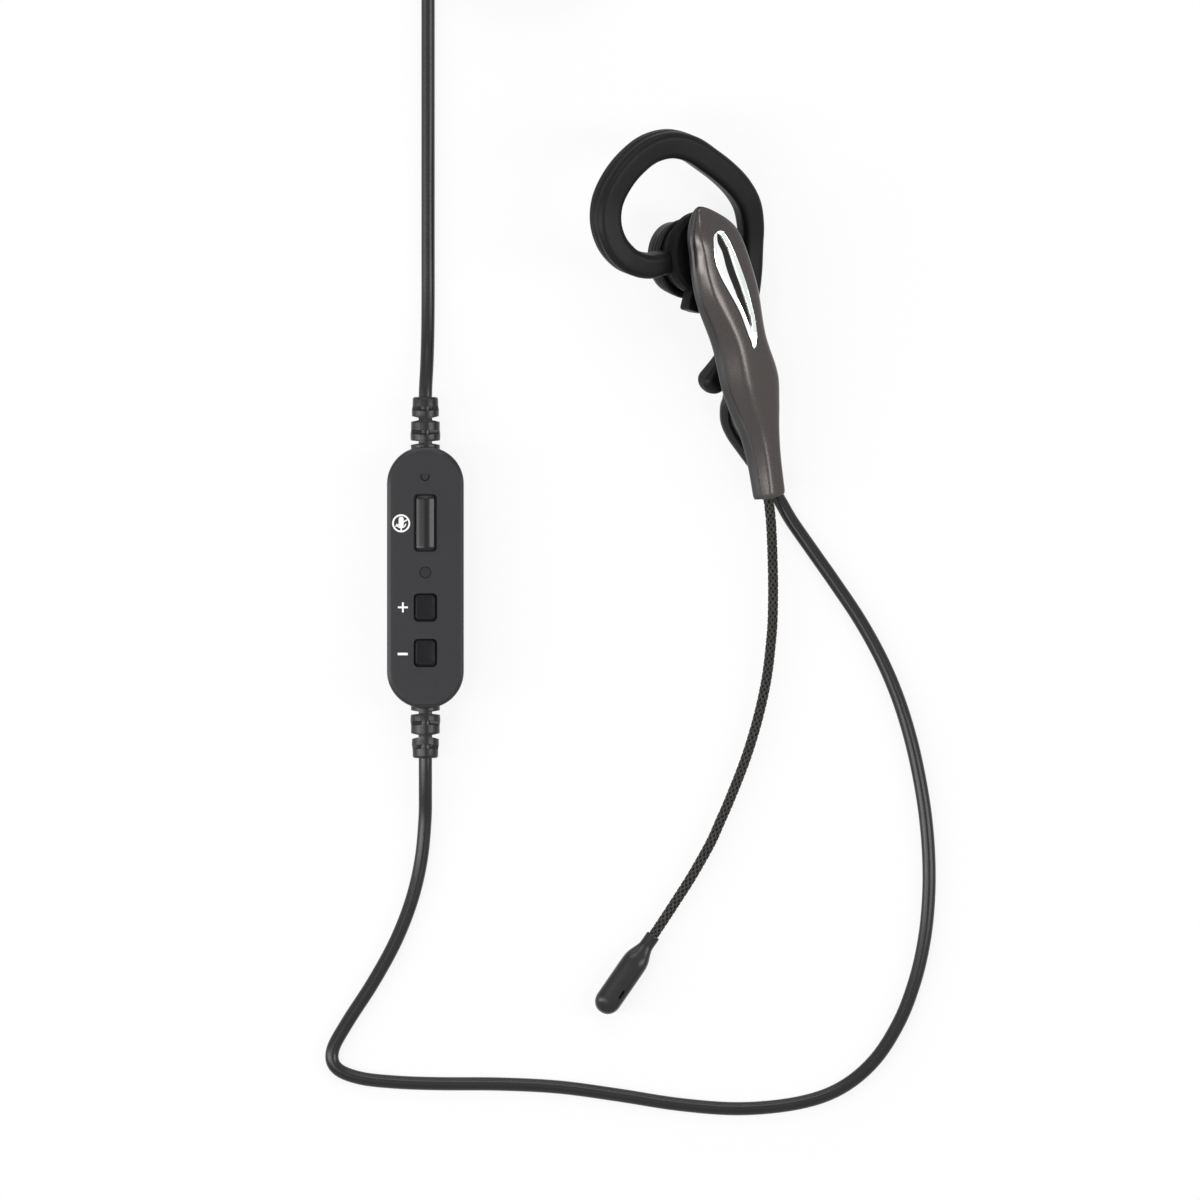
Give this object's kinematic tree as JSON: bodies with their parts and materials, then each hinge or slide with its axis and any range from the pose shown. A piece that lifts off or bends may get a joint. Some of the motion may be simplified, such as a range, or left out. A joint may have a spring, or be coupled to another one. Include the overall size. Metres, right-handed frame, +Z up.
{
  "type": "ear-hook headset",
  "caption": "Single-ear headset with a turning ear hook, speaker bud, bendable boom microphone and an in-line control box on its cord.",
  "frame": {"origin": "under the middle of the ear piece and boom, on the surface that the headset lies on", "axes": "+Y from the microphone to the ear hook's crown, +X to the wearer's front, +Z up from the surface"},
  "size_m": [0.1584, 0.3579, 0.0312],
  "materials": {
    "cover_paint": "pearl paint",
    "chrome_trim": "polished",
    "shell_plastic": "satin",
    "black_plastic": "satin",
    "box_plastic": "fine matte",
    "key_plastic": "satin",
    "light_plastic": "smoked",
    "white_plastic": "satin",
    "hook_rubber": "soft matte",
    "soft_rubber": "matte",
    "cord_jacket": "satin",
    "strap": "woven",
    "braid": "braided",
    "steel": "satin",
    "brass": "satin",
    "gold": "plated",
    "board": "solder mask",
    "chips": "matte"
  },
  "bodies": {
    "headset": {"front_cover": "cover_paint", "leaf_trim": "chrome_trim", "rear_shell": "shell_plastic", "housing_screws": "steel", "neck_nut": "brass", "speaker_cup": "black_plastic", "speaker_driver": "steel", "speaker_grille": "steel", "ear_tip": "soft_rubber", "friction_washer": "steel", "cord_boot": "soft_rubber", "boom_anchor": "brass", "boom_upper": "braid", "control_top_shell": "box_plastic", "control_bottom_shell": "box_plastic", "light_pipe": "light_plastic", "circuit_board": "board", "board_parts": "chips", "tact_switches": "steel", "control_screws": "steel", "upper_strain_relief": "soft_rubber", "lower_strain_relief": "soft_rubber", "earpiece_cord": "cord_jacket", "plug_cord": "cord_jacket", "cord_coil": "cord_jacket", "cord_tail": "cord_jacket", "coil_tie": "strap", "plug_grip": "black_plastic", "plug_shell": "steel", "plug_tongue": "white_plastic", "plug_contacts": "gold"},
    "hook": {"ear_hook": "hook_rubber"},
    "boom_mid": {"boom_middle": "braid"},
    "boom_end": {"boom_lower": "braid", "mic_sleeve": "soft_rubber", "mic_capsule": "steel"},
    "mute": {"mute_key": "key_plastic"},
    "volume_up": {"volume_up_key": "key_plastic"},
    "volume_down": {"volume_down_key": "key_plastic"}
  },
  "joints": [
    {"name": "hook_swing", "type": "hinge", "parent": "headset", "child": "hook", "pos_m": [0.00325, 0.08194, 0.0134], "axis": [0.6815, 0.0046, 0.7319], "range_deg": [-25, 0]},
    {"name": "boom_bend_upper", "type": "hinge", "parent": "headset", "child": "boom_mid", "pos_m": [0.0228, -0.012, 0.0044], "axis": [0, 0, 1], "range_deg": [-20, 20]},
    {"name": "boom_bend_lower", "type": "hinge", "parent": "boom_mid", "child": "boom_end", "pos_m": [0.0092, -0.065, 0.0033], "axis": [-0.9153, 0.4027, 0], "range_deg": [0, 45]},
    {"name": "mute_press", "type": "slide", "parent": "headset", "child": "mute", "axis": [0, 0, -1], "range_m": [0, 0.0005], "stiffness_N_per_m": 600},
    {"name": "volume_up_press", "type": "slide", "parent": "headset", "child": "volume_up", "axis": [0, 0, -1], "range_m": [0, 0.0005], "stiffness_N_per_m": 600},
    {"name": "volume_down_press", "type": "slide", "parent": "headset", "child": "volume_down", "axis": [0, 0, -1], "range_m": [0, 0.0005], "stiffness_N_per_m": 600}
  ]
}
